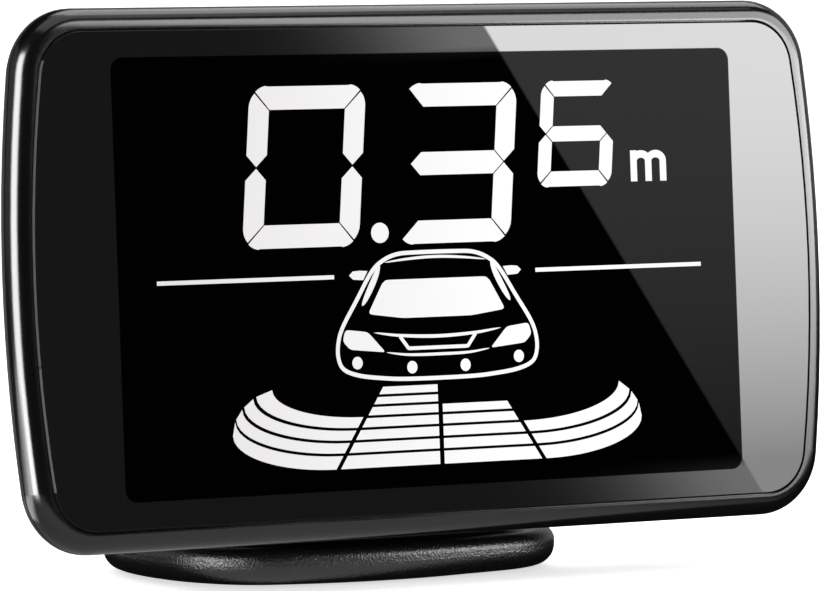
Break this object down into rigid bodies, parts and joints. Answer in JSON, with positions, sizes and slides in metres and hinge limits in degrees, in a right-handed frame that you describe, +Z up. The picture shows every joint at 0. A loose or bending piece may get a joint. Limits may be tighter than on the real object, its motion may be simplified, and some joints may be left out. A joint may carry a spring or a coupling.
{
  "type": "parking distance display",
  "caption": "Dashboard display of a parking sensor kit: a slim lens-fronted LCD head on a friction hinge, above a low weighted base that sticks down.",
  "frame": {"origin": "centre of the adhesive pad's underside, on the dashboard", "axes": "+Z up from the dashboard; the screen faces -Y, towards the driver; +X is to the viewer's right along the hinge axis"},
  "size_m": [0.1096, 0.0457, 0.0674],
  "materials": {
    "lens": "clear hard-coated acrylic with a black printed border",
    "tape": "black double-sided tape",
    "bezel": "black moulded plastic, satin gloss",
    "housing": "black moulded plastic, fine spark texture",
    "base": "black moulded plastic, fine spark texture",
    "glass": "liquid crystal cell glass",
    "polariser": "dark polarising film",
    "film": "white diffusing film",
    "guide": "clear acrylic light guide",
    "tray": "white moulded plastic",
    "board": "green solder mask on glass-epoxy",
    "chip": "black moulding compound with tinned leads",
    "led": "white light emitting diode",
    "zebra": "striped conductive elastomer",
    "can": "aluminium can on a black foot",
    "buzzer": "black moulded plastic",
    "brass": "brass sounder disc",
    "gauze": "black woven gauze",
    "socket": "natural nylon",
    "pin": "gold-flashed brass",
    "switch": "tinned steel can",
    "knob": "black acetal",
    "screw": "black zinc-plated steel",
    "steel": "zinc-plated steel",
    "washer": "nylon",
    "foam": "grey acrylic foam tape"
  },
  "bodies": {
    "base": {"base_shell": "base", "base_plate": "base", "base_screws": "steel", "base_weight": "steel", "adhesive_pad": "foam", "hinge_screw": "screw", "hinge_nut": "steel", "friction_washers": "washer"},
    "head": {"lens_panel": "lens", "lens_tape": "tape", "front_bezel": "bezel", "front_polariser": "polariser", "front_glass": "glass", "rear_glass": "glass", "rear_polariser": "polariser", "diffuser_sheet": "film", "light_guide": "guide", "reflector_sheet": "film", "contact_strip": "zebra", "backlight_tray": "tray", "led_board": "board", "backlight_leds": "led", "main_board": "board", "microcontroller": "chip", "display_driver": "chip", "voltage_regulator": "chip", "capacitors": "can", "crystal": "can", "buzzer_case": "buzzer", "buzzer_disc": "brass", "sound_gauze": "gauze", "cable_socket": "socket", "socket_pins": "pin", "switch_body": "switch", "rear_housing": "housing", "housing_screws": "screw"},
    "volume_switch": {"switch_knob": "knob"}
  },
  "joints": [
    {"name": "head_tilt", "type": "hinge", "parent": "base", "child": "head", "pos_m": [0, -0.0019, 0.02152], "axis": [-1, 0, 0], "range_deg": [-3, 27]},
    {"name": "volume_slide", "type": "slide", "parent": "head", "child": "volume_switch", "axis": [1, 0, 0], "range_m": [-0.002, 0.002]}
  ]
}
